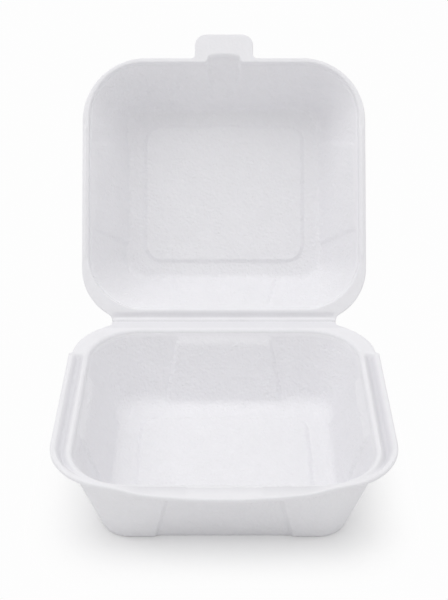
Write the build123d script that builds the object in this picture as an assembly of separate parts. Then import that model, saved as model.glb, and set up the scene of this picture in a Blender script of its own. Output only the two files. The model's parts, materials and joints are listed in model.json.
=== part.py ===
from build123d import *

import os
from math import atan, degrees, hypot, sqrt

# Foam clamshell box: a base tray and a lid, formed from one foam sheet and joined along a pressed fold.
# Millimetres, +Z up. The origin is the middle of the base's foot, on the table. The front is -Y, and the
# fold runs along X behind the base. Both halves are trays. The lid is modelled lying flat behind the base,
# mouth up, and then swung up about the fold to the angle at which the box stands open.

# Base tray
base_height = 39.0            # table to rim
base_sheet = 3.0              # foam of the floor and walls
mouth_width = 129.8
mouth_length = 120.4
base_setback = 13.2           # lean of each wall, mouth to floor
base_floor_corner = 10.8
base_floor_round = 7.0        # inside, floor to wall
foot_bevel = 1.2              # outside, foot to wall
base_ring = 10.0              # floor's border round the pressed panel
base_panel_top = 46.0         # pressed panel in each wall, at its upper border
base_panel_foot = 62.0        # the same at the floor

# Base rim, from the mouth outwards
rim_sheet = 2.1               # foam pressed thinner in the rim
ridge_width = 2.8             # ridge round the mouth
groove_width = 4.7            # groove between the ridge and the lip
groove_depth = 1.3
groove_taper = 24.0           # degrees, slope of the groove's sides
lip_width = 2.6               # outer lip along each side
lip_setback = 28.5            # fold to the rear end of the lips
lip_end = 2.0                 # lip carried on behind the groove
lip_step = 1.6                # rim behind the lips is narrower by this much on each side
front_flange = 6.4            # ridge to the front edge, at the middle
front_bead = 0.4              # low edge left along the front flange
bow_radius = 190.0            # bowed front edge, seen from above
front_corner = 30.5
rear_flange = 8.1             # mouth to the fold
rear_corner = 29.4

# Fold between the halves
fold_gap = 0.15               # each half's clearance from the fold's axis
neck_inset = 17.0             # rim's side to the end of the hinge strip
fold_sheet = 1.0              # foam pressed at the fold
fold_press = 3.2              # width pressed thin on each half
base_neck_round = 2.0
lid_neck_round = 3.4
open_angle = 122.5            # lid's opening from closed, as it stands

# Lid
lid_depth = 33.0              # rim to ceiling, inside
lid_sheet = 1.5               # foam of the ceiling, walls and rim
lid_rear_flange = 6.4         # fold to the lid's mouth
lid_front_flange = 2.5
lid_side_flange = 3.4
lid_shortfall = 3.6           # lid's front edge stops this far behind the base's
lid_front_corner = 32.0
lid_rear_corner = 27.0
lid_setback = 17.3            # lean of each wall, mouth to ceiling
lid_ceiling_corner = 10.2
lid_ceiling_round = 5.0
lid_top_round = 6.0
lid_ring = 8.0                # ceiling's border round the pressed panel
lid_panel_top = 46.0
lid_panel_foot = 60.0
hinge_groove_start = 1.4      # groove across the lid's hinge strip, from the fold
hinge_groove_width = 3.0
hinge_groove_depth = 0.6
bead_fit = 1.15               # side clearance of the lid's beads in the base's grooves
bead_end_fit = 1.0            # the same at a bead's ends
bead_edge = 0.45              # flange left outside each bead

# Tab on the lid's front edge
tab_width = 29.6
tab_length = 12.2
tab_round = 5.8
tab_root_round = 2.0
tab_fit = 0.3                 # side clearance of the tab in its notch
notch_depth = 1.1             # notch in the base's front ridge
pocket_width = 19.0           # pocket at the tab's root, running down the front wall
pocket_reach = 1.8            # pocket's bowed end, past the lid's front edge
pocket_bow = 1.4
pocket_foot_width = 10.0
pocket_depth = 26.0

# Steps that both halves share
band_depth = 2.4              # upright band just under the mouth
band_lean = 0.3
ledge = 0.5                   # step under the band
mouth_bevel = 0.5             # inner edge of each mouth
panel_depth = 0.9             # wall panels stand this far into the box
panel_taper = 50.0            # degrees, slope of a panel's borders
panel_drop = 1.2              # ledge to a panel's upper border
panel_round = 2.5
floor_step = 1.0              # floor and ceiling panels stand this far into the box
edge_bevel_share = 0.3        # bevel of a rim's free edges, as a share of its sheet
bead_end_share = 0.45         # rounding of a bead's ends, as a share of its width
overrun = 5.0                 # cuts and hidden joins carried past the surface

# Sizes that follow
mouth_corner = base_floor_corner + base_setback
lid_mouth_corner = lid_ceiling_corner + lid_setback
ridge_half = mouth_width / 2 + ridge_width
base_width = 2 * (ridge_half + groove_width + lip_width)
front_reach = mouth_length / 2 + ridge_width + front_flange
hinge_reach = mouth_length / 2 + rear_flange
neck_width = base_width - 2 * lip_step - 2 * neck_inset
lip_start = hinge_reach - lip_setback
bead_width = groove_width - 2 * bead_fit
bead_place = ridge_half + groove_width / 2
lid_width = 2 * (bead_place + bead_width / 2 + bead_edge)
lid_length = hinge_reach + front_reach - lid_shortfall
wall_inset = band_lean + ledge


def span(width, front, back):
    """Plain rectangle centred on X between two places along Y."""
    return Pos(0, (front + back) / 2) * Rectangle(width, back - front)


def sunk(outline, depth, taper):
    """Solid that goes down from an outline at z = 0 and narrows by the same slope all round."""
    return mirror(extrude(outline, depth, taper=taper), about=Plane.XY)


def wall_panel(reach, lean, top, foot, run, turn, behind):
    """Trapezoid pressed into one drafted wall, starting a given depth behind its inner face."""
    normal = Vector(0, 1, 0).rotate(Axis.X, degrees(atan(lean)))
    face = Plane(origin=(0, -reach, -band_depth), x_dir=(1, 0, 0), z_dir=normal).offset(-behind)
    corners = [(-top / 2, panel_drop), (top / 2, panel_drop), (foot / 2, run), (-foot / 2, run)]
    outline = fillet(Polygon(*corners, align=None).vertices(), panel_round)
    return Rot(0, 0, turn) * extrude(face * outline, panel_depth, taper=panel_taper)


def mouth_cut(width, length, corner):
    """Cutter for the upright band under a mouth, flared at the top to bevel the mouth's edge."""
    mouth = RectangleRounded(width, length, corner)
    flare = 2 * mouth_bevel
    cut = sunk(mouth, band_depth, degrees(atan(band_lean / band_depth)))
    cut += extrude(RectangleRounded(width + 2 * flare, length + 2 * flare, corner + flare), overrun)
    hollow = [e for e in cut.edges() if mouth.wire().distance_to(Vertex(e @ 0.5)) < fold_gap]
    return chamfer(hollow, mouth_bevel)


def tray(width, length, corner, setback, depth, sheet, flange, ring, inner_round, ease, outer_ease,
         panel_top, panel_foot):
    """Block and cavity of a formed tray with its mouth at z = 0. The wall is what lies between them.

    The outer edge of the floor is eased by a fillet or a chamfer of the size outer_ease.
    """
    lean = (setback - wall_inset) / (depth - band_depth)
    draft = degrees(atan(lean))
    floor_width = width - 2 * setback
    floor_length = length - 2 * setback
    floor_corner = corner - setback

    ledge_outline = RectangleRounded(width - 2 * wall_inset, length - 2 * wall_inset, corner - wall_inset)
    cavity = Pos(0, 0, -band_depth) * sunk(ledge_outline, depth - band_depth, draft)
    cavity = fillet(cavity.edges().group_by(Axis.Z)[0], inner_round)
    cavity += mouth_cut(width, length, corner)

    grow = sheet * hypot(1, lean) - wall_inset + (band_depth - flange / 2) * lean
    rim_outline = RectangleRounded(width + 2 * grow, length + 2 * grow, corner + grow)
    block = Pos(0, 0, -flange / 2) * sunk(rim_outline, depth + sheet - flange / 2, draft)
    block = ease(block.edges().group_by(Axis.Z)[0], outer_ease)

    run = hypot(depth, setback) + overrun
    for reach, turn in ((length / 2, 0), (width / 2, 90), (length / 2, 180), (width / 2, 270)):
        cavity -= wall_panel(reach - wall_inset, lean, panel_top, panel_foot, run, turn, 0)
        block -= wall_panel(reach - wall_inset, lean, panel_top, panel_foot, run, turn, sheet)

    pad = RectangleRounded(floor_width - 2 * ring, floor_length - 2 * ring, floor_corner)
    pad = extrude(pad, floor_step, taper=panel_taper)
    cavity -= Pos(0, 0, -depth) * pad
    block -= Pos(0, 0, -depth - sheet) * pad
    return block, cavity


def rounded_neck(outline, radius, fold_edge):
    """Round the two hollow corners where the hinge strip leaves a rim's corners."""
    corners = [v for v in outline.vertices()
               if abs(abs(v.X) - neck_width / 2) < fold_gap and abs(v.Y - fold_edge) > fold_gap]
    return fillet(corners, radius)


def flange_plate(outline, sheet, fold_edge):
    """Rim pressed from an outline with its upper face at z = 0 and its free upper edges bevelled."""
    plate = extrude(outline, -sheet)
    free = [e for e in plate.edges().group_by(Axis.Z)[-1] if abs((e @ 0.5).Y - fold_edge) > fold_gap]
    return chamfer(free, sheet * edge_bevel_share)


def fold_relief(inner, fold, sheet):
    """Wedge that thins the underside of a rim towards the fold."""
    section = Polygon((inner, -sheet), (fold, -sheet), (fold, -fold_sheet), align=None)
    return extrude(Plane.YZ * section, neck_width, both=True)


def base_tray():
    """The half that stands on the table, with its ridge, grooves, lips and bowed front flange."""
    block, cavity = tray(mouth_width, mouth_length, mouth_corner, base_setback, base_height - base_sheet,
                         base_sheet, rim_sheet, base_ring, base_floor_round, chamfer, foot_bevel,
                         base_panel_top, base_panel_foot)

    bow = Pos(0, bow_radius - front_reach) * Circle(bow_radius)
    lipped = span(base_width, -front_reach, lip_start) & bow
    lipped = fillet(lipped.vertices().group_by(Axis.Y)[0], front_corner)
    rear = span(base_width - 2 * lip_step, 0, hinge_reach)
    rear = fillet(rear.vertices().group_by(Axis.Y)[-1], rear_corner)
    outline = lipped + rear + span(neck_width, 0, hinge_reach)
    outline &= span(base_width, -front_reach, hinge_reach - fold_gap)
    outline = rounded_neck(outline, base_neck_round, hinge_reach - fold_gap)

    ridge_front = -mouth_length / 2 - ridge_width
    ridge = RectangleRounded(2 * ridge_half, -2 * ridge_front, mouth_corner + ridge_width)
    grooved = offset(lipped, -lip_width) & span(base_width, -front_reach, lip_start - lip_end)
    groove = sunk(grooved, groove_depth, groove_taper) - sunk(ridge, groove_depth, -groove_taper)
    front_flat = (lipped - ridge) & span(mouth_width - 2 * mouth_corner, -front_reach, 0)
    notch = span(tab_width + 2 * tab_fit, ridge_front, ridge_front + notch_depth)
    mouth = RectangleRounded(mouth_width, mouth_length, mouth_corner)
    pan = (offset(grooved, rim_sheet / 2) & outline) - mouth

    rim = flange_plate(outline, rim_sheet, hinge_reach - fold_gap)
    rim += Pos(0, 0, -rim_sheet) * extrude(pan + front_flat, -groove_depth)
    body = block + rim - groove
    body -= extrude(front_flat, front_bead - groove_depth)
    body -= extrude(notch, -groove_depth)
    body -= fold_relief(hinge_reach - fold_press, hinge_reach, rim_sheet)
    body -= cavity
    return Pos(0, 0, base_height) * body


def tab_pocket(mouth_front, grow):
    """Tapered pocket from the tab's root down the front wall, grown by a sheet's thickness for its rib."""
    lean = (lid_setback - wall_inset) / (lid_depth - band_depth)
    foot_front = mouth_front - wall_inset - lean * (pocket_depth - band_depth)
    root_front = lid_length + pocket_reach
    sections = []
    for half, front, height in ((pocket_width / 2, root_front, 0),
                                (pocket_foot_width / 2, foot_front, -pocket_depth)):
        left = (-half - grow, front - pocket_bow + grow)
        right = (half + grow, front - pocket_bow + grow)
        back = front - pocket_width
        end = ThreePointArc(left, (0, front + grow), right)
        rest = Polyline(right, (half + grow, back), (-half - grow, back), left)
        sections.append(Pos(0, 0, height) * make_face([end, rest]))
    return loft(sections, ruled=True)


def lid_flat():
    """The lid lying flat, mouth up, with the fold at y = 0 and its front edge at +Y."""
    width = lid_width - 2 * lid_side_flange
    mouth_front = lid_length - lid_front_flange
    length = mouth_front - lid_rear_flange
    block, cavity = tray(width, length, lid_mouth_corner, lid_setback, lid_depth, lid_sheet, lid_sheet,
                         lid_ring, lid_ceiling_round, fillet, lid_top_round, lid_panel_top, lid_panel_foot)
    place = Pos(0, lid_rear_flange + length / 2)

    outline = span(lid_width, 0, lid_length)
    outline = fillet(outline.vertices().group_by(Axis.Y)[0], lid_rear_corner)
    outline = fillet(outline.vertices().group_by(Axis.Y)[-1], lid_front_corner)
    outline += span(neck_width, 0, lid_rear_corner)
    outline &= span(lid_width, fold_gap, lid_length)
    outline = rounded_neck(outline, lid_neck_round, fold_gap)
    tab = span(tab_width, lid_length - overrun, lid_length + tab_length)
    outline += fillet(tab.vertices().group_by(Axis.Y)[-1], tab_round)
    roots = [v for v in outline.vertices()
             if abs(abs(v.X) - tab_width / 2) < fold_gap and abs(v.Y - lid_length) < fold_gap]
    outline = fillet(roots, tab_root_round)

    rim = flange_plate(outline, lid_sheet, fold_gap)
    rim -= extrude(span(lid_width, hinge_groove_start, hinge_groove_start + hinge_groove_width),
                   -hinge_groove_depth)
    body = place * block + rim + tab_pocket(mouth_front, lid_sheet)
    body -= fold_relief(fold_press, 0, lid_sheet)
    body -= place * cavity
    body -= tab_pocket(mouth_front, 0)

    bow_middle = bow_radius - front_reach
    corner_start = bow_middle - sqrt((bow_radius - front_corner) ** 2 - (base_width / 2 - front_corner) ** 2)
    bead_start = lip_setback + lip_end + bead_end_fit
    bead_stop = hinge_reach - corner_start - bead_end_fit
    bead = RectangleRounded(bead_width, bead_stop - bead_start, bead_width * bead_end_share)
    bead = extrude(bead, groove_depth, taper=groove_taper)
    for side in (-1, 1):
        body += Pos(side * bead_place, (bead_start + bead_stop) / 2) * bead
    return body


base = base_tray()
fold = Axis((0, hinge_reach, base_height + fold_gap), (1, 0, 0))
lid = Pos(0, hinge_reach, base_height) * lid_flat()
lid = lid.rotate(fold, 180 - open_angle)

os.makedirs("parts", exist_ok=True)
export_step(base, "parts/base_tray.step")
export_step(lid, "parts/lid.step")
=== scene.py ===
import json
from math import atan, atan2, cos, degrees, hypot, radians, sin, sqrt, tan

import bmesh
import bpy
import numpy as np
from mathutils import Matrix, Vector


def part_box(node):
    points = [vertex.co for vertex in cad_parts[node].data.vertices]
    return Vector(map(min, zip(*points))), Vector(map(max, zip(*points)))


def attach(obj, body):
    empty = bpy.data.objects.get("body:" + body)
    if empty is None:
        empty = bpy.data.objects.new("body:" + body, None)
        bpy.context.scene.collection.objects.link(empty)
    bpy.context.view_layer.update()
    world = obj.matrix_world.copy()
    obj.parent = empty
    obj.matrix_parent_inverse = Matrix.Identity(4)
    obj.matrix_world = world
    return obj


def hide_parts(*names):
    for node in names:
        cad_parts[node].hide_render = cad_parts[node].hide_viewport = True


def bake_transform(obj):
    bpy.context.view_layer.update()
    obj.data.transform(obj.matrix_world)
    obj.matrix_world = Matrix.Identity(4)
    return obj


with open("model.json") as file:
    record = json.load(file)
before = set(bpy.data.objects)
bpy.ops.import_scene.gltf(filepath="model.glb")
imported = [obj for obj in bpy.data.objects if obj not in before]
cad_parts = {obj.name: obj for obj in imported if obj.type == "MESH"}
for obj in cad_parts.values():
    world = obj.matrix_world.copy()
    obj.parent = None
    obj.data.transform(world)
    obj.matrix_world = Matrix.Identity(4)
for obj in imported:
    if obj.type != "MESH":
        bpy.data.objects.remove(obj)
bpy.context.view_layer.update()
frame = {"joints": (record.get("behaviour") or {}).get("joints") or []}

# Base tray
# The deeper half of the box, pressed hot from one sheet of expanded polystyrene foam. A ridge runs round
# its mouth, a groove and a lip along each side, and the bowed front flange is pressed lower than the rest.
# The foam is a matt, faintly cool white, with its fine cells showing as a soft grain, and is darkened with
# painted shade in its grooves, along the front ridge and in the hinge strip.

MM = 0.001
base_low, base_high = (np.array(corner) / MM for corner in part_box("base_tray"))
fold_place = np.array(frame["joints"][0]["pos_m"]) / MM

base_height = base_high[2]
rim_half = base_high[0]
front_reach = -base_low[1]
fold_reach = fold_place[1]
fold_gap = fold_place[2] - base_height     # room between the fold's line and each half

ridge_width = 2.8
groove_width = 4.7
groove_depth = 2.1
lip_width = 2.6
lip_setback = 28.5            # fold to the rear end of the lips
lip_end = 2.0                 # lip carried on behind the groove
lip_step = 1.6                # rim behind the lips is narrower by this much on each side
front_flange = 6.4
front_drop = 1.5              # front edge below the lips
front_fade = (33.0, 49.0)     # the drop dies away between these places along the front
bow_radius = 190.0
front_corner = 30.5
rear_corner = 29.4
rim_sheet = 2.1
rim_edge = 0.85               # rounding of the rim's outer edge
lip_crest = 1.7               # lip's highest line, from the rim's outer edge
ridge_crest = 2.0             # ridge's highest line, from the mouth
groove_slope = 2.9            # each rounded side of the groove
front_crest = 1.3             # the ridge is sharper along the front
front_slope = 5.6             # and the flange falls away from it, less and less steeply
notch_half = 15.1             # notch in the front ridge, where the tab lies
notch_depth = 1.1             # the flange begins to fall this much nearer to the mouth there
notch_slope = 1.2

fold_sheet = 1.0              # foam pressed at the fold
fold_press = 3.2              # the sheet thins towards the fold over this much
fold_edge = 0.36              # rounding along the fold
fold_ease = (2 * fold_press, 1.0)     # distances from the fold over which an edge takes that rounding
neck_half = 56.4              # half the length of the hinge strip
base_hollow = 2.0             # rounding where the hinge strip meets the rim's corner

mouth_corner = 24.0
base_setback = 13.2           # lean of each wall, mouth to floor
base_sheet = 3.0
base_border = 10.0            # floor's border round its pressed panel
base_floor_corner = 10.8
base_floor_round = 9.5
foot_round = 2.0
base_curl = 1.7               # round from the underside of the rim to the wall
base_mouth_round = 2.0        # rounding of the mouth's edge
base_band_lean = 0.7          # lean of the band under it

# A wall's pressed panel: half its width at its top and at its foot, its depth, where it starts under the
# band, and the widths of its upper border and of its sides.
base_panel = {"top": 23.0, "foot": 31.0, "depth": 1.1, "start": 0.0, "end_slope": 5.0, "side_slope": 1.2}

band_depth = 2.4              # upright band just under the mouth
ledge_drop = 0.7              # height of the soft ledge from the band in to the wall
wall_inset = 0.8              # mouth to the top of a wall
under_share = 0.55            # of a narrow rim, taken up by the round under it
panel_run = 5.0               # panel carried on past the floor
panel_blend = 0.3             # softness of a panel's end in the floor's round
floor_step = 1.0              # floor panel stands this far into the box
floor_slope = 2.6             # width of the step round it

notch_span = (13.0, 17.0)     # finer stretches of the grid: round the ends of the notch
panel_span = (21.0, 33.0)     # and round the sides of the panels

# Steps of the grids: round a corner, across the rim, down the inner and the outer face, over the floor.
corner_steps = 32
rim_steps = 32
mouth_steps, band_steps, ledge_steps, wall_steps, round_steps = 6, 3, 5, 23, 9
curl_steps, outer_steps, foot_steps = 6, 21, 7
border_steps, pad_steps = 4, 7

parallel = 1e-9               # lines this near to parallel don't meet
slack = 1e-6                  # share of a line by which a meeting point may miss its ends
weld_distance = 1e-6          # points of neighbouring grids nearer than this, in metres, become one

mouth_half_width = rim_half - lip_width - groove_width - ridge_width
mouth_half_length = front_reach - front_flange - ridge_width
lip_start = fold_reach - lip_setback
base_depth = base_height - base_sheet


def smooth(start, end, value):
    """0 before the start and 1 after the end, with an S-curve between them."""
    share = np.clip((value - start) / (end - start), 0, 1)
    return share * share * (3 - 2 * share)


def spread(start, *stretches):
    """Places from a start, each stretch given by its end and its number of steps."""
    places = [start]
    for end, steps in stretches:
        places.extend(np.linspace(places[-1], end, steps + 1)[1:])
    return np.array(places)


def arc(centre, radius, start, end, steps=40):
    """Points along an arc between two angles in degrees."""
    turn = np.radians(np.linspace(start, end, steps + 1))
    return np.array(centre) + radius * np.column_stack([np.cos(turn), np.sin(turn)])


def bearing(point, centre):
    """Angle in degrees from a centre to a point."""
    return degrees(atan2(point[1] - centre[1], point[0] - centre[0]))


def hinge_side(centre, corner, hollow, edge):
    """Rear corner of an outline, the hollow beside the hinge strip and half of the strip's edge."""
    across = neck_half + hollow - centre[0]
    rise = sqrt((corner + hollow) ** 2 - across ** 2)
    turn = degrees(atan2(rise, across))
    bend = (neck_half + hollow, centre[1] + rise)
    strip_edge = np.array([(neck_half, edge), (0, edge)])
    return arc(centre, corner, 0, turn), arc(bend, hollow, turn + 180, 180), strip_edge


def closed(right):
    """Loop from its right half, which runs from the middle of the front to the middle of the rear."""
    return np.vstack([right, right[-2:0:-1] * (-1, 1)])


def outward(loop):
    """Outward directions along an anticlockwise loop; at corners they are longer, as for an even offset."""
    run = np.roll(loop, -1, axis=0) - loop
    side = np.column_stack([run[:, 1], -run[:, 0]]) / np.linalg.norm(run, axis=1)[:, None]
    both = side + np.roll(side, 1, axis=0)
    return 2 * both / np.sum(both * both, axis=1)[:, None]


def level(points, height):
    """Plan points with a height each, or one for all."""
    return np.concatenate([points, np.broadcast_to(height, points.shape[:-1])[..., None]], axis=-1)


def patch(front, rear, left, right):
    """Points spanning four border lines; front and rear run left to right, the others front to rear."""
    across = np.linspace(0, 1, len(front))[None, :, None]
    back = np.linspace(0, 1, len(left))[:, None, None]
    ruled = (1 - back) * front[None] + back * rear[None]
    ruled = ruled + (1 - across) * left[:, None] + across * right[:, None]
    front_chord = (1 - across) * front[0] + across * front[-1]
    rear_chord = (1 - across) * rear[0] + across * rear[-1]
    return ruled - (1 - back) * front_chord - back * rear_chord


def fill(loop, turn):
    """Points inside a ring's loop, which is split at its four corners."""
    count, half = len(loop), len(loop) // 2
    twice = np.concatenate([loop, loop])
    return patch(twice[count - turn:count + turn + 1], loop[half - turn:half + turn + 1][::-1],
                 twice[half + turn:count - turn + 1][::-1], loop[turn:half - turn + 1])


def edge_rounding(plain, y, fold):
    """Rounding along the edge of one half, which turns into that of the fold."""
    return plain + (fold_edge - plain) * smooth(fold - fold_ease[0], fold - fold_ease[1], y)


def plain_underside(sheet, y, fold):
    """Height of a rim's underside, thinner towards the fold."""
    return -sheet + (sheet - fold_sheet) * (1 - smooth(0, fold_press, fold - y))


class Ring:
    """Places round a mouth, anticlockwise from the middle of its front, with their outward directions."""

    def __init__(self, half_width, half_length, corner, front, side, rear, front_turn, rear_turn):
        self.corner = corner
        self.flat = np.array([half_width - corner, half_length - corner])
        x, y = self.flat
        first, second = np.radians(front_turn), np.radians(rear_turn)
        sides = np.concatenate([-side[::-1], side[1:]])
        core = ([(place, -y) for place in front], [(x, -y)] * len(first), [(x, place) for place in sides],
                [(x, y)] * len(second), [(place, y) for place in rear[::-1]])
        out = ([(0, -1)] * len(front), np.column_stack([np.sin(first), -np.cos(first)]),
               [(1, 0)] * len(sides), np.column_stack([np.cos(second), np.sin(second)]),
               [(0, 1)] * len(rear))
        self.core, self.out = closed(np.vstack(core)), closed(np.vstack(out))
        self.count = len(self.core)
        self.turn = len(front) + len(first) // 2
        ends = np.abs(self.out[:, 1]) == 1
        straight = ends | (np.abs(self.out[:, 0]) == 1)
        from_middle = np.where(ends, np.abs(self.core[:, 0]), np.abs(self.core[:, 1]))
        self.along = np.where(straight, from_middle, np.inf)

    def at(self, reach):
        """Points at a distance outside the mouth's edge, for one level or more."""
        return self.core + self.out * (self.corner + np.asarray(reach))[..., None]

    def reach(self, points):
        """Distance of points outside the mouth's edge."""
        return np.sum((points - self.core) * self.out, axis=-1) - self.corner

    def shrunk(self, half_width, half_length, corner):
        """The ring drawn in to a smaller rounded rectangle."""
        return self.core * (np.array([half_width, half_length]) - corner) / self.flat + self.out * corner

    def meet(self, outline):
        """Points where the ring's outward directions meet an outline."""
        run = np.roll(outline, -1, axis=0) - outline
        gap = outline[None] - self.core[:, None]
        across = self.out[:, None, 0] * run[None, :, 1] - self.out[:, None, 1] * run[None, :, 0]
        across = np.where(np.abs(across) < parallel, np.nan, across)
        reach = (gap[..., 0] * run[None, :, 1] - gap[..., 1] * run[None, :, 0]) / across
        share = (gap[..., 0] * self.out[:, None, 1] - gap[..., 1] * self.out[:, None, 0]) / across
        hit = (share > -slack) & (share < 1 + slack) & (reach > 0)
        return self.core + self.out * np.min(np.where(hit, reach, np.inf), axis=1)[:, None]


def no_pocket(tray, height, skin):
    """Walls with no pocket in them are pushed out nowhere."""
    return 0.0 * height


class Tray:
    """Walls and floor of one half: where its inner and outer faces lie below the mouth."""

    def __init__(self, ring, half_size, setback, depth, sheet, border, floor_corner, inner_round,
                 outer_round, curl, mouth_round, band_lean, panel, pocket):
        self.ring, self.depth, self.sheet, self.panel, self.pocket = ring, depth, sheet, panel, pocket
        self.curl, self.mouth_round, self.band_lean = curl, mouth_round, band_lean
        self.lean = (setback - wall_inset) / (depth - band_depth)
        self.slant = atan(self.lean)
        self.skin = sheet * hypot(1, self.lean)
        self.inner_round, self.outer_round = inner_round, outer_round
        self.pad_size = [half - setback - border for half in half_size]
        self.pad_corner = floor_corner

    def wall(self, height, skin=0.0):
        """Distance of a wall's face from the mouth's edge, inside or a skin further out."""
        return skin - wall_inset + self.lean * (height + band_depth)

    def outer_reach(self, height):
        """Distance of the outer face from the mouth's edge, with any pocket."""
        return self.wall(height, self.skin) + self.pocket(self, height, self.skin)

    def pressed(self, reach, height, skin):
        """Move a wall's face in where its panel is pressed; the panel dies away in the floor's round."""
        panel = self.panel
        run = -(height + band_depth) / cos(self.slant)
        end = hypot(self.depth, self.depth * self.lean) + panel_run
        wider = (panel["foot"] - panel["top"]) * (run - panel["start"]) / (end - panel["start"])
        half = panel["top"] + wider
        push = panel["depth"] * smooth(panel["start"], panel["start"] + panel["end_slope"], run)
        push = push * (1 - smooth(half - panel["side_slope"], half, self.ring.along))
        inside = np.maximum(self.wall(height, skin) - reach, 0) * cos(self.slant)
        moved = (push - inside + np.hypot(inside - push, push * panel_blend)) / 2 * (push > 0)
        return reach - moved * cos(self.slant), height + moved * sin(self.slant)

    def bend(self, floor, radius, skin, steps):
        """Round in section from a wall to a level floor, as distances and heights."""
        middle = self.wall(floor, skin) - radius * tan((radians(90) - self.slant) / 2)
        turn = np.linspace(-self.slant, -radians(90), steps + 1)
        return middle + radius * np.cos(turn), floor + radius + radius * np.sin(turn)

    def floor(self, edge, height):
        """Grids from the foot of the walls over the step of the floor's panel to its middle."""
        border = level(self.ring.shrunk(*self.pad_size, self.pad_corner), height)
        levels = [edge + (border - edge) * share for share in np.linspace(0, 1, border_steps + 1)]
        for share in np.linspace(0, 1, pad_steps + 1)[1:]:
            size = [half - floor_slope * share for half in self.pad_size]
            step = self.ring.shrunk(*size, self.pad_corner - floor_slope * share)
            levels.append(level(step, height + floor_step * smooth(0, 1, share)))
        return [(np.array(levels), True), (fill(levels[-1], self.ring.turn), False)]

    def walls(self, reach, height, skin, floor):
        """Grids of one face from its section, with the panels, the pocket and the floor."""
        reach, height = self.pressed(reach, height, skin)
        points = level(self.ring.at(reach + self.pocket(self, height, skin)), height)
        return [(points, True)] + self.floor(points[-1], floor)

    def inside(self, top):
        """Grids of the inner face, from the given heights at the mouth's rounded edge to the floor."""
        turn = np.radians(np.linspace(0, 90, mouth_steps + 1))
        band = np.linspace(self.mouth_round, band_depth, band_steps + 1)[1:]
        ledge = np.linspace(0, 1, ledge_steps + 1)[1:]
        foot = -band_depth - ledge_drop
        curve = self.bend(-self.depth, self.inner_round, 0.0, round_steps)
        plain = np.linspace(foot, curve[1][0], wall_steps + 1)[1:-1]
        reach = np.concatenate([self.mouth_round * (1 - np.sin(turn)), -self.band_lean * band / band_depth,
                                -self.band_lean + (self.wall(foot) + self.band_lean) * smooth(0, 1, ledge),
                                self.wall(plain), curve[0]])
        height = np.concatenate([self.mouth_round * (np.cos(turn) - 1), -band,
                                 -band_depth - ledge_drop * ledge, plain, curve[1]])
        every = np.zeros(self.ring.count)
        height = height[:, None] + every
        height[:len(turn)] += np.cos(turn)[:, None] * top
        return self.walls(reach[:, None] + every, height, 0.0, -self.depth)

    def outside(self, top):
        """Grids of the outer face, from the given heights under the rim to the foot."""
        foot = -self.depth - self.sheet
        curve = self.bend(foot, self.outer_round, self.skin, foot_steps)
        height = top + (curve[1][0] - top) * np.linspace(0, 1, outer_steps + 1)[:-1, None]
        every = np.zeros(self.ring.count)
        reach = np.vstack([self.wall(height, self.skin), curve[0][:, None] + every])
        return self.walls(reach, np.vstack([height, curve[1][:, None] + every]), self.skin, foot)

    def rim(self, outer, top, under, steps):
        """Grids of the rim's two faces, from the points where its rounded edge begins, with the walls."""
        share = np.linspace(0, 1, steps + 1)[:, None, None]
        mouth = self.ring.at(self.mouth_round + self.pocket(self, np.zeros(self.ring.count), 0.0))
        upper = outer + (mouth - outer) * share
        upper = level(upper, top(upper))
        near = under(self.ring.at(np.zeros(self.ring.count)))
        room = self.ring.reach(outer) - self.outer_reach(near)
        curl = np.minimum(self.curl, under_share * room)
        lower = outer + (self.ring.at(self.outer_reach(near) + curl) - outer) * share
        lower = level(lower, under(lower))
        brow = lower[-1, :, 2]
        knee = level(self.ring.at(self.outer_reach(brow)), brow)
        outside = self.outside(brow - curl)
        bend = np.linspace(0, 1, curl_steps + 1)[:, None, None]
        curve = lower[-1] * (1 - bend) ** 2 + knee * 2 * bend * (1 - bend) + outside[0][0][0] * bend ** 2
        return [(upper, True), (lower, True), (curve, True)] + self.inside(upper[-1, :, 2]) + outside


def edge_strip(loop, rounding, top, under, steps=6):
    """Grid of a sheet's rounded outer edge."""
    side, turn = outward(loop), np.radians(np.linspace(0, 90, steps + 1))
    lines = [(loop - side * (rounding * (1 - sin(angle)))[:, None], rounding * (1 - cos(angle)))
             for angle in turn]
    upper = [level(line, top - drop) for line, drop in lines]
    lower = [level(line, under + drop) for line, drop in lines[::-1]]
    return np.array(upper + lower), True


def sheet_mesh(name, grids, marks):
    """Closed mesh of a formed sheet from its grids of points; marks are named values at those points."""
    points, faces, start = [], [], 0
    for grid, looped in grids:
        rows, columns = grid.shape[:2]
        index = start + np.arange(rows * columns).reshape(rows, columns)
        index = np.hstack([index, index[:, :1]]) if looped else index
        corners = [index[:-1, :-1], index[:-1, 1:], index[1:, 1:], index[1:, :-1]]
        faces.append(np.stack(corners, axis=-1).reshape(-1, 4))
        points.append(grid.reshape(-1, 3) * MM)
        start += rows * columns
    mesh = bpy.data.meshes.new(name)
    mesh.from_pydata(np.vstack(points).tolist(), [], np.vstack(faces).tolist())
    for mark, values in marks.items():
        shares = np.concatenate([np.ravel(share) for share in values])
        mesh.attributes.new(mark, "FLOAT", "POINT").data.foreach_set("value", shares)
    shape = bmesh.new()
    shape.from_mesh(mesh)
    bmesh.ops.remove_doubles(shape, verts=shape.verts, dist=weld_distance)
    bmesh.ops.recalc_face_normals(shape, faces=shape.faces)
    shape.to_mesh(mesh)
    shape.free()
    made = bpy.data.objects.new(name, mesh)
    bpy.context.scene.collection.objects.link(made)
    return made


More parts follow.
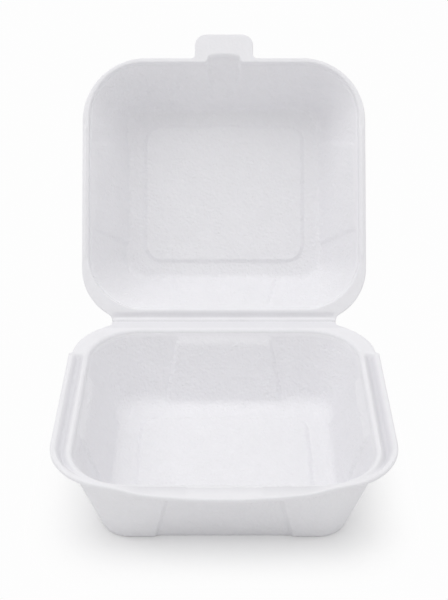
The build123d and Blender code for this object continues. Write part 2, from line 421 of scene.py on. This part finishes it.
bow_middle = bow_radius - front_reach
front_across = rim_half - front_corner
front_middle = np.array([front_across,
                         bow_middle - sqrt((bow_radius - front_corner) ** 2 - front_across ** 2)])
bow_end = bearing(front_middle, (0, bow_middle))
rear_middle = np.array([rim_half - lip_step - rear_corner, fold_reach - rear_corner])
rear_arc, hollow_arc, strip = hinge_side(rear_middle, rear_corner, base_hollow, fold_reach - fold_gap)
lip_ends = np.array([(rim_half, lip_start - lip_step / 2), (rim_half - lip_step, lip_start + lip_step / 2)])
base_outline = closed(np.vstack([arc((0, bow_middle), bow_radius, -90, bow_end),
                                 arc(front_middle, front_corner, bow_end, 0),
                                 lip_ends, rear_arc[rear_arc[:, 1] > lip_ends[1][1]], hollow_arc, strip]))

base_flat = (mouth_half_width - mouth_corner, mouth_half_length - mouth_corner)
lip_turns = [bearing(point, base_flat) for point in lip_ends]
neck_turns = [bearing(point, base_flat) for point in (hollow_arc[0], hollow_arc[-1], strip[0])]
base_ring = Ring(mouth_half_width, mouth_half_length, mouth_corner,
                 front=spread(0, (notch_span[0], 7), (notch_span[1], 6), (panel_span[0], 2),
                              (panel_span[1], 18), (base_flat[0], 5)),
                 side=spread(0, (panel_span[0], 8), (panel_span[1], 18), (base_flat[1], 2)),
                 rear=spread(0, (panel_span[0], 9), (panel_span[1], 17), (base_flat[0], 4)),
                 front_turn=np.linspace(0, 90, corner_steps + 1)[1:-1],
                 rear_turn=spread(0, (lip_turns[0], 3), (lip_turns[1], 3), (neck_turns[0], 22),
                                  (neck_turns[1], 6), (neck_turns[2], 3), (90, 10))[1:-1])
base_edge = base_ring.meet(base_outline)


def base_rim_shape(points):
    """Shares of side groove and of front at points, and how far down the front's slope they lie."""
    reach, out = base_ring.reach(points), np.linalg.norm(base_edge - points, axis=-1)
    x, y = np.abs(points[..., 0]), points[..., 1]
    front = (1 - smooth(*front_fade, x)) * (y < 0)
    notch = (1 - smooth(notch_half, notch_half + notch_slope, x)) * (y < 0)
    groove = smooth(0, groove_slope, reach - ridge_crest) * smooth(0, groove_slope, out - lip_crest)
    groove = groove * (1 - smooth(lip_start - lip_end - lip_crest, lip_start - lip_end + lip_crest, y))
    fall = np.clip((reach - front_crest + notch_depth * notch) / front_slope, 0, 1)
    return groove * (1 - front), front, fall


def base_pressed(points):
    """How far the rim is pressed down at points."""
    groove, front, fall = base_rim_shape(points)
    return groove_depth * groove + front_drop * (1 - (1 - fall) ** 3) * front


def base_top(points):
    """Height of the rim's upper face, from the rim's highest level."""
    return -base_pressed(points)


def base_underside(points):
    """Height of the rim's underside, pressed down with its upper face."""
    return plain_underside(rim_sheet, points[..., 1], fold_reach) - base_pressed(points)


base_rounding = edge_rounding(rim_edge, base_edge[:, 1], fold_reach)
base_tray = Tray(base_ring, (mouth_half_width, mouth_half_length), setback=base_setback, depth=base_depth,
                 sheet=base_sheet, border=base_border, floor_corner=base_floor_corner,
                 inner_round=base_floor_round, outer_round=foot_round, curl=base_curl,
                 mouth_round=base_mouth_round, band_lean=base_band_lean, panel=base_panel, pocket=no_pocket)
base_rim = base_edge - outward(base_edge) * base_rounding[:, None]
base_grids = base_tray.rim(base_rim, base_top, base_underside, rim_steps)
base_upper, base_lower = base_grids[0][0], base_grids[1][0]
base_grids.append(edge_strip(base_edge, base_rounding, base_upper[0, :, 2], base_lower[0, :, 2]))

# Painted shade: the foam's colour is darkened where shade falls, in the grooves, along the front ridge and
# in the hinge strip.
front_shade = 0.7             # painted shade along the front ridge, against that in the grooves
front_shade_rise = 0.1        # share of the front's slope over which that sets in
strip_shade = 0.35            # and in the hinge strip, which begins between these distances from the fold
strip_shade_from, strip_shade_to = 6.4, 5.2
smooth_rim = (-6.0, -2.5)     # heights over which the walls' grain gives way to the rim's smooth skin


def base_painted_shade(points):
    """Painted shade as shares at points: in the grooves, along the front's ridge and in the hinge strip."""
    groove, front, fall = base_rim_shape(points)
    strip_share = smooth(fold_reach - strip_shade_from, fold_reach - strip_shade_to, points[..., 1])
    front_share = front_shade * front * (1 - fall) * smooth(0, front_shade_rise, fall)
    return groove + front_share + strip_shade * strip_share


# The "pressed" mark carries that painted shade to the foam's colour.
base_marks = {"pressed": [base_painted_shade(base_upper[..., :2])]
                         + [np.zeros(grid.shape[:2]) for grid, looped in base_grids[1:]],
              "rim": [smooth(*smooth_rim, grid[..., 2]) for grid, looped in base_grids]}
base_skin = sheet_mesh("foam_base", [(grid + (0, 0, base_height), looped) for grid, looped in base_grids],
                       base_marks)

foam_light = (0.895, 0.89, 0.915, 1)
foam_dark = (0.835, 0.83, 0.855, 1)
# colour of the painted shade in the grooves, along the front ridge and in the hinge strip
foam_painted_shade = (0.73, 0.725, 0.755, 1)
foam_roughness = 0.5
roughness_spread = 0.25       # the grain adds this much to it at most
foam_shine = 0.3
cell_size = 1.7 * MM
grain_size = 1.1 * MM
grain_detail = 2.0
mottle_size = 9 * MM
mottle_detail = 3.0
mottle_share = 0.6            # of the change from dark to light; the grain makes the rest
cell_height = 0.42 * MM
cell_relief, grain_relief = 0.6, 0.8     # how much of that height the cells and the grain have
relief_level = 0.7            # their common level, taken off
rim_smoothness = 0.75         # share of the relief that the rim's skin lacks
wave_size = 14 * MM           # faint waves of the sheet
wave_height = 0.06 * MM
wave_middle = 0.5             # middle value of their noise


class Wire:
    """An output in a node tree, or the tree itself; arithmetic on it adds the nodes that work it out."""

    def __init__(self, tree, socket=None):
        self.tree, self.socket = tree, socket

    def node(self, kind, output, inputs, **settings):
        """Add a node, give it settings and inputs, and wrap one of its outputs."""
        made = self.tree.nodes.new(kind)
        for name, value in settings.items():
            setattr(made, name, value)
        for name, value in inputs.items():
            if isinstance(value, Wire):
                self.tree.links.new(value.socket, made.inputs[name])
            else:
                made.inputs[name].default_value = value
        return Wire(self.tree, made.outputs[output] if len(made.outputs) else None)

    def sum(self, operation, first, second):
        """Arithmetic on two values."""
        return self.node("ShaderNodeMath", 0, {0: first, 1: second}, operation=operation)

    def __add__(self, other):
        return self.sum("ADD", self, other)

    def __sub__(self, other):
        return self.sum("SUBTRACT", self, other)

    def __rsub__(self, other):
        return self.sum("SUBTRACT", other, self)

    def __mul__(self, other):
        return self.sum("MULTIPLY", self, other)

    __radd__ = __add__
    __rmul__ = __mul__


foam = bpy.data.materials.new("foam")
foam.use_nodes = True
foam.node_tree.nodes.clear()
net = Wire(foam.node_tree)
place = net.node("ShaderNodeTexCoord", "Object", {})
cells = net.node("ShaderNodeTexVoronoi", "Distance", {"Vector": place, "Scale": 1 / cell_size},
                 feature="SMOOTH_F1")
grain = net.node("ShaderNodeTexNoise", "Fac",
                 {"Vector": place, "Scale": 1 / grain_size, "Detail": grain_detail})
mottle = net.node("ShaderNodeTexNoise", "Fac",
                  {"Vector": place, "Scale": 1 / mottle_size, "Detail": mottle_detail})
rim = net.node("ShaderNodeAttribute", "Fac", {}, attribute_name="rim")
relief = (cells * cell_relief + grain * grain_relief - relief_level) * (1 - rim * rim_smoothness)
dents = net.node("ShaderNodeBump", 0, {"Strength": 1.0, "Distance": cell_height, "Height": relief})
lightness = mottle * mottle_share + grain * (1 - mottle_share)
tint = net.node("ShaderNodeMix", 2, {0: lightness, 6: foam_dark, 7: foam_light}, data_type="RGBA")
# painted shade: the tint darkens towards the shade colour by the "pressed" mark
painted_shade = net.node("ShaderNodeAttribute", "Fac", {}, attribute_name="pressed")
tint = net.node("ShaderNodeMix", 2, {0: painted_shade, 6: tint, 7: foam_painted_shade}, data_type="RGBA")
surface = net.node("ShaderNodeBsdfPrincipled", 0,
                   {"Base Color": tint, "Roughness": foam_roughness + grain * roughness_spread,
                    "Normal": dents, "Specular IOR Level": foam_shine})
net.node("ShaderNodeOutputMaterial", 0, {"Surface": surface})

skin_tree = bpy.data.node_groups.new("foam skin", "GeometryNodeTree")
for way in ("INPUT", "OUTPUT"):
    skin_tree.interface.new_socket("Geometry", in_out=way, socket_type="NodeSocketGeometry")
skin_inputs = {}
for name, kind in (("Wave size", "Float"), ("Wave height", "Float"), ("Material", "Material")):
    made = skin_tree.interface.new_socket(name, in_out="INPUT", socket_type="NodeSocket" + kind)
    skin_inputs[name] = made.identifier
net = Wire(skin_tree)
given = net.node("NodeGroupInput", 0, {})
wave_length, wave_reach, stuff = (Wire(skin_tree, given.socket.node.outputs[name]) for name in skin_inputs)
place = net.node("GeometryNodeInputPosition", 0, {})
facing = net.node("GeometryNodeInputNormal", 0, {})
wave = net.node("ShaderNodeTexNoise", 0, {"Vector": place, "Detail": 1.0,
                                          "Scale": net.sum("DIVIDE", 1.0, wave_length)})
shift = net.node("ShaderNodeVectorMath", 0, {0: facing, "Scale": (wave - wave_middle) * wave_reach},
                 operation="SCALE")
moved = net.node("GeometryNodeSetPosition", 0, {"Geometry": given, "Offset": shift})
even_shade = net.node("GeometryNodeSetShadeSmooth", 0, {"Geometry": moved, "Shade Smooth": True})
whole = net.node("GeometryNodeRealizeInstances", 0, {"Geometry": even_shade})
coated = net.node("GeometryNodeSetMaterial", 0, {"Geometry": whole, "Material": stuff})
net.node("NodeGroupOutput", 0, {0: coated})


def finish_foam(piece):
    """Give a formed sheet its faint waves and its foam, as a plain mesh."""
    skin = piece.modifiers.new("foam skin", "NODES")
    skin.node_group = skin_tree
    skin[skin_inputs["Wave size"]] = wave_size
    skin[skin_inputs["Wave height"]] = wave_height
    skin[skin_inputs["Material"]] = foam
    bpy.context.view_layer.update()
    finished = bpy.data.meshes.new_from_object(piece.evaluated_get(bpy.context.evaluated_depsgraph_get()))
    piece.modifiers.remove(skin)
    piece.data = finished


finish_foam(base_skin)
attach(base_skin, "base_tray")
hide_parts("base_tray")

# Lid
# The shallower half of the same sheet, standing open on the fold. Its rim is flat, with a bead along each
# side that drops into the base's grooves, and a pocket is pressed through the root of its front tab.

lid_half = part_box("lid")[1][0] / MM
lid_lift = radians(-frame["joints"][0]["range_deg"][0])     # from lying flat behind the base

lid_shortfall = 3.6           # the lid is shorter than the base by this much
lid_side_flange = 3.4
lid_front_flange = 2.5
lid_rear_flange = 6.4
lid_front_corner = 32.0
lid_rear_corner = 27.0
lid_hollow = 3.4
lid_edge = 0.6
lid_mouth_corner = 27.5
lid_setback = 17.3
lid_depth = 33.0
lid_sheet = 1.5
lid_border = 8.0
lid_ceiling_corner = 10.2
lid_ceiling_round = 5.0
lid_top_round = 6.0
lid_curl = 0.3
lid_mouth_round = 0.9
lid_band_lean = 0.3
lid_panel = {"top": 23.0, "foot": 30.0, "depth": 0.7, "start": 1.2, "end_slope": 1.0, "side_slope": 3.0}

strip_groove = (0.0, 2.3, 5.2)     # groove along the hinge strip: its sides and its bottom, from the fold
strip_groove_depth = 1.3
strip_groove_press = 0.7      # how much of that shows on the other face
strip_fade = (53.0, 58.0)     # it dies away between these places, towards the ends of the strip
bead_start = 31.5             # from the fold
bead_stop = 99.9
bead_end = 2.0                # slope at each end
bead_across = (0.3, 1.7, 3.1)      # a bead's sides and its highest line, from the lid's edge
bead_height = 0.5

tab_half = 14.8
tab_length = 12.2
tab_round = 5.8
tab_root = 2.0                # rounding where the tab leaves the lid's edge
tab_row = 5.0                 # the tab's own grid begins this far out, past the pocket
tab_row_half = 12.0           # places of the lid's ring that end on that row
pocket_half = 9.5
pocket_foot_half = 5.0
pocket_reach = 1.8            # past the lid's front edge
pocket_bow = 1.4              # its sides lie this much behind its middle
pocket_depth = 26.0
pocket_slope = 1.9            # width of its soft sides

pocket_middle = 4.0           # finer stretches of the grid: outside the middle of the pocket
lid_panel_span = (21.0, 32.0)     # and round the sides of the front and rear panels
lid_corner_steps = 30
lid_rim_steps = 26
tab_side_steps = 24
tab_turn = -45                # the tab's grid turns its corner at this angle round the tab's rounded one

lid_length = fold_reach + front_reach - lid_shortfall
lid_half_width = lid_half - lid_side_flange
lid_half_length = (lid_length - lid_front_flange - lid_rear_flange) / 2
lid_fold = lid_rear_flange + lid_half_length
lid_front = lid_fold - lid_length
root_half = tab_half + tab_root

lid_flat = (lid_half_width - lid_mouth_corner, lid_half_length - lid_mouth_corner)
lid_rear_middle = np.array([lid_half - lid_rear_corner, lid_fold - lid_rear_corner])
lid_front_middle = (lid_half - lid_front_corner, lid_front + lid_front_corner)
rear_arc, hollow_arc, strip = hinge_side(lid_rear_middle, lid_rear_corner, lid_hollow, lid_fold - fold_gap)
lid_outline = closed(np.vstack([[(0, lid_front)], arc(lid_front_middle, lid_front_corner, -90, 0),
                                rear_arc, hollow_arc, strip]))
neck_turns = [bearing(point, lid_flat) for point in (hollow_arc[0], hollow_arc[-1], strip[0])]
lid_ring = Ring(lid_half_width, lid_half_length, lid_mouth_corner,
                front=spread(0, (pocket_middle, 3), (tab_row_half, 18), (root_half, 8),
                             (lid_panel_span[0], 3), (lid_panel_span[1], 16), (lid_flat[0], 5)),
                side=spread(0, (panel_span[0], 8), (panel_span[1], 16), (lid_flat[1], 1)),
                rear=spread(0, (lid_panel_span[0], 9), (lid_panel_span[1], 16), (lid_flat[0], 5)),
                front_turn=np.linspace(0, 90, lid_corner_steps + 1)[1:-1],
                rear_turn=spread(0, (neck_turns[0], 26), (neck_turns[1], 7), (neck_turns[2], 1),
                                 (90, 11))[1:-1])
lid_meet = lid_ring.meet(lid_outline)
row_index, root_index = (int(np.argmin(np.abs(lid_ring.core[:lid_ring.turn, 0] - half)))
                         for half in (tab_row_half, root_half))


def tab_pocket(tray, height, skin):
    """How far the pocket pushes the front wall's face out."""
    drop = np.maximum(-height, 0)
    steep = (lid_front_flange + pocket_reach - tray.wall(-pocket_depth)) / pocket_depth
    half = pocket_half + (pocket_foot_half - pocket_half) * drop / pocket_depth
    front = lid_front_flange + pocket_reach - steep * drop
    plain = tray.wall(height, skin)
    if skin:
        half = half + lid_sheet
        front = front + lid_sheet * hypot(1, steep)
    else:
        plain = np.minimum(plain, 0.0)
    front = front - pocket_bow * np.minimum(lid_ring.along / half, 1) ** 2
    mask = (1 - smooth(half - pocket_slope, half, lid_ring.along)) * (lid_ring.out[:, 1] == -1)
    return mask * np.maximum(front - plain, 0.0)


def strip_pressed(points):
    """Share of the hinge strip's groove at points."""
    from_fold = lid_fold - points[..., 1]
    groove = smooth(*strip_groove[:2], from_fold) * (1 - smooth(*strip_groove[1:], from_fold))
    return groove * (1 - smooth(*strip_fade, np.abs(points[..., 0])))


def lid_top(points):
    """Height of the rim's upper face: the groove along the fold and a bead along each side."""
    from_fold = lid_fold - points[..., 1]
    out = np.linalg.norm(lid_meet - points, axis=-1)
    bead = smooth(*bead_across[:2], out) * (1 - smooth(*bead_across[1:], out))
    bead = bead * smooth(bead_start, bead_start + bead_end, from_fold)
    bead = bead * (1 - smooth(bead_stop - bead_end, bead_stop, from_fold))
    return bead_height * bead - strip_groove_depth * strip_pressed(points)


def lid_underside(points):
    """Height of the rim's underside, with what shows there of the groove along the fold."""
    return plain_underside(lid_sheet, points[..., 1], lid_fold) - strip_groove_press * strip_pressed(points)


def even(points, steps):
    """A line's points, set out again at even distances."""
    far = np.concatenate([[0], np.cumsum(np.linalg.norm(np.diff(points, axis=0), axis=1))])
    places = np.linspace(0, far[-1], steps + 1)
    return np.column_stack([np.interp(places, far, points[:, 0]), np.interp(places, far, points[:, 1])])


tab_end = lid_front - tab_length
tab_middle = (tab_half - tab_round, tab_end + tab_round)
row_end = (tab_half, lid_front - tab_row)
tab_root_line = even(np.vstack([arc((root_half, lid_front - tab_root), tab_root, 90, 180), [row_end]]),
                     root_index - row_index)
tab_right = even(np.vstack([[row_end], arc(tab_middle, tab_round, 0, tab_turn)]), tab_side_steps)
tab_nose = arc(tab_middle, tab_round, tab_turn, -90)
tab_nose = even(np.vstack([tab_nose, tab_nose[::-1] * (-1, 1)])[::-1], 2 * row_index)
tab_left = tab_right * (-1, 1)

lid_bound = np.array(lid_meet)
lid_bound[row_index:root_index + 1] = tab_root_line[::-1]
lid_bound[lid_ring.count - root_index:lid_ring.count - row_index + 1] = tab_root_line * (-1, 1)
round_lid = slice(row_index, lid_ring.count - row_index + 1)
round_count = round_lid.stop - round_lid.start
lid_edge_loop = np.vstack([lid_bound[round_lid], tab_left[1:], tab_nose[1:], tab_right[::-1][1:-1]])
lid_rounding = edge_rounding(lid_edge, lid_edge_loop[:, 1], lid_fold)
lid_inset = lid_edge_loop - outward(lid_edge_loop) * lid_rounding[:, None]

lid_rim = np.array(lid_bound)
lid_rim[round_lid] = lid_inset[:round_count]
row = np.concatenate([np.arange(lid_ring.count - row_index, lid_ring.count), np.arange(row_index + 1)])
between = row[1:-1]
row_share = lid_ring.core[between, 0] / tab_row_half
lid_rim[between] = np.column_stack([row_share, np.ones(len(between))]) * lid_inset[0]
left_stop = round_count + len(tab_left) - 1
nose_stop = left_stop + len(tab_nose) - 1
right_line = np.vstack([lid_inset[nose_stop - 1:], lid_inset[:1]])[::-1]
tab_face = patch(lid_rim[row], lid_inset[left_stop - 1:nose_stop],
                 lid_inset[round_count - 1:left_stop], right_line)

lid_tray = Tray(lid_ring, (lid_half_width, lid_half_length), setback=lid_setback, depth=lid_depth,
                sheet=lid_sheet, border=lid_border, floor_corner=lid_ceiling_corner,
                inner_round=lid_ceiling_round, outer_round=lid_top_round, curl=lid_curl,
                mouth_round=lid_mouth_round, band_lean=lid_band_lean, panel=lid_panel, pocket=tab_pocket)
lid_grids = lid_tray.rim(lid_rim, lid_top, lid_underside, lid_rim_steps)
tab_count = len(lid_edge_loop) - round_count
edge_top, edge_under = (np.concatenate([grid[0, round_lid, 2], np.full(tab_count, height)])
                        for grid, height in ((lid_grids[0][0], 0.0), (lid_grids[1][0], -lid_sheet)))
lid_grids.append(edge_strip(lid_edge_loop, lid_rounding, edge_top, edge_under))
lid_grids += [(level(tab_face, 0.0), False), (level(tab_face, -lid_sheet), False)]


def stand(points, lift):
    """Carry points from the frame of a half lying flat behind the fold to the open lid."""
    y, z = lid_fold - points[..., 1], points[..., 2] - fold_gap
    return np.stack([-points[..., 0], fold_place[1] + y * np.cos(lift) - z * np.sin(lift),
                     fold_place[2] + y * np.sin(lift) + z * np.cos(lift)], axis=-1)


lid_marks = {"rim": [smooth(*smooth_rim, grid[..., 2]) for grid, looped in lid_grids]}
lid_skin = sheet_mesh("foam_lid", [(stand(grid, lid_lift), looped) for grid, looped in lid_grids],
                      lid_marks)
finish_foam(lid_skin)
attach(lid_skin, "lid")
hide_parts("lid")

# Fold
# The line where the sheet is pressed thin and bends. The strip of foam left there joins the two halves,
# lies inside their edges and is built bent to the open lid.

web_gap = 0.3                 # short of each end of the hinge strip
web_reach = 1.1               # into each half, from the fold
web_bend = 0.5                # the bend is spread over this much on each side of the fold
web_top = -0.26               # below the rim's upper faces
web_under = -0.8
web_rows = 19
web_columns = 81

web_half = neck_half - web_gap
web_run = np.linspace(-web_reach, web_reach, web_rows)
web_section = np.vstack([np.column_stack([web_run, np.full(web_rows, web_top)]),
                         np.column_stack([web_run[::-1], np.full(web_rows, web_under)])])
web_x = np.linspace(-web_half, web_half, web_columns)
web_flat = np.broadcast_arrays(web_x[:, None], lid_fold - web_section[:, 0], web_section[:, 1])
web_points = stand(np.stack(web_flat, axis=-1),
                   lid_lift * smooth(-web_bend, web_bend, web_section[:, 0]))
web_caps = [np.stack([end[:web_rows], end[:web_rows - 1:-1]]) for end in (web_points[0], web_points[-1])]
web_grids = [(web_points, True)] + [(cap, False) for cap in web_caps]
web_marks = {"rim": [np.ones(grid.shape[:2]) for grid, looped in web_grids]}
fold_skin = sheet_mesh("foam_fold", web_grids, web_marks)
finish_foam(fold_skin)
web_ends = [stand(np.array([0, lid_fold - side * web_bend, (web_top + web_under) / 2]),
                  lid_lift * (side > 0)) * MM for side in (-1, 1)]
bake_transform(fold_skin)

# Studio
# A white paper sweep under four square soft boxes, the strongest of them at the upper left. The camera sees
# the paper and what lies beyond it as plain white, apart from the shadow close to the box's foot.

floor_radius = 3.0
floor_segments = 96
floor_white = 0.94
backdrop_white = 0.985
room_light = 0.61
shadow_half = (0.045, 0.041, 1.0)          # half a block a little inside the foot, with room above it
clear_from, clear_to = -0.003, 0.042       # distances from it over which the shadow fades into the white

floor_shape = bmesh.new()
bmesh.ops.create_circle(floor_shape, cap_ends=True, segments=floor_segments, radius=floor_radius)
floor_mesh = bpy.data.meshes.new("floor")
floor_shape.to_mesh(floor_mesh)
floor_shape.free()
floor = bpy.data.objects.new("floor", floor_mesh)
bpy.context.scene.collection.objects.link(floor)
paper = bpy.data.materials.new("white sweep")
paper.use_nodes = True
paper.node_tree.nodes.clear()
net = Wire(paper.node_tree)
place = net.node("ShaderNodeTexCoord", "Object", {})
past = net.node("ShaderNodeVectorMath", 0, {0: place}, operation="ABSOLUTE")
past = net.node("ShaderNodeVectorMath", 0, {0: past, 1: shadow_half}, operation="SUBTRACT")
past = net.node("ShaderNodeVectorMath", 0, {0: past, 1: (0, 0, 0)}, operation="MAXIMUM")
far = net.node("ShaderNodeVectorMath", "Value", {0: past}, operation="LENGTH")
clear = net.node("ShaderNodeMapRange", 0, {"Value": far, "From Min": clear_from, "From Max": clear_to},
                 interpolation_type="SMOOTHSTEP")
seen = net.node("ShaderNodeLightPath", "Is Camera Ray", {})
matt = net.node("ShaderNodeBsdfDiffuse", 0, {"Color": (floor_white, floor_white, floor_white, 1)})
white = net.node("ShaderNodeEmission", 0, {"Color": (1, 1, 1, 1), "Strength": backdrop_white})
sweep = net.node("ShaderNodeMixShader", 0, {0: clear * seen, 1: matt, 2: white})
net.node("ShaderNodeOutputMaterial", 0, {"Surface": sweep})
floor_mesh.materials.append(paper)

softbox_size = 0.9
softboxes = {"left": ((-0.85, 0.0, 1.2), 4.1),       # place in metres and power in watts
             "top": ((0.0, 0.05, 1.5), 3.4),
             "right": ((1.0, 0.0, 1.0), 1.4),
             "front": ((0.0, -0.75, 1.35), 1.25)}
for name, (place, power) in softboxes.items():
    softbox_data = bpy.data.lights.new(name, "AREA")
    softbox_data.size = softbox_size
    softbox_data.energy = power
    softbox = bpy.data.objects.new(name, softbox_data)
    softbox.location = place
    softbox.rotation_euler = Vector(place).to_track_quat("Z", "Y").to_euler()
    bpy.context.scene.collection.objects.link(softbox)

world = bpy.data.worlds.new("studio")
world.use_nodes = True
world.node_tree.nodes.clear()
net = Wire(world.node_tree)
seen = net.node("ShaderNodeLightPath", "Is Camera Ray", {})
brightness = room_light + (backdrop_white - room_light) * seen
around = net.node("ShaderNodeBackground", 0, {"Color": (1, 1, 1, 1), "Strength": brightness})
net.node("ShaderNodeOutputWorld", 0, {"Surface": around})
bpy.context.scene.world = world
bpy.context.scene.view_settings.view_transform = "Standard"

# Camera
# The camera of a product photograph, on the box's line of symmetry. It looks straight at the open front
# from above, tipped down by about 30 degrees.

camera_place = (0.0, -0.4547, 0.353)
camera_pitch = 29.95
camera_lens = 72.7
camera_data = bpy.data.cameras.new("camera")
camera_data.lens = camera_lens
camera = bpy.data.objects.new("camera", camera_data)
camera.location = camera_place
camera.rotation_euler = (radians(90 - camera_pitch), 0, 0)
bpy.context.scene.collection.objects.link(camera)
bpy.context.scene.camera = camera
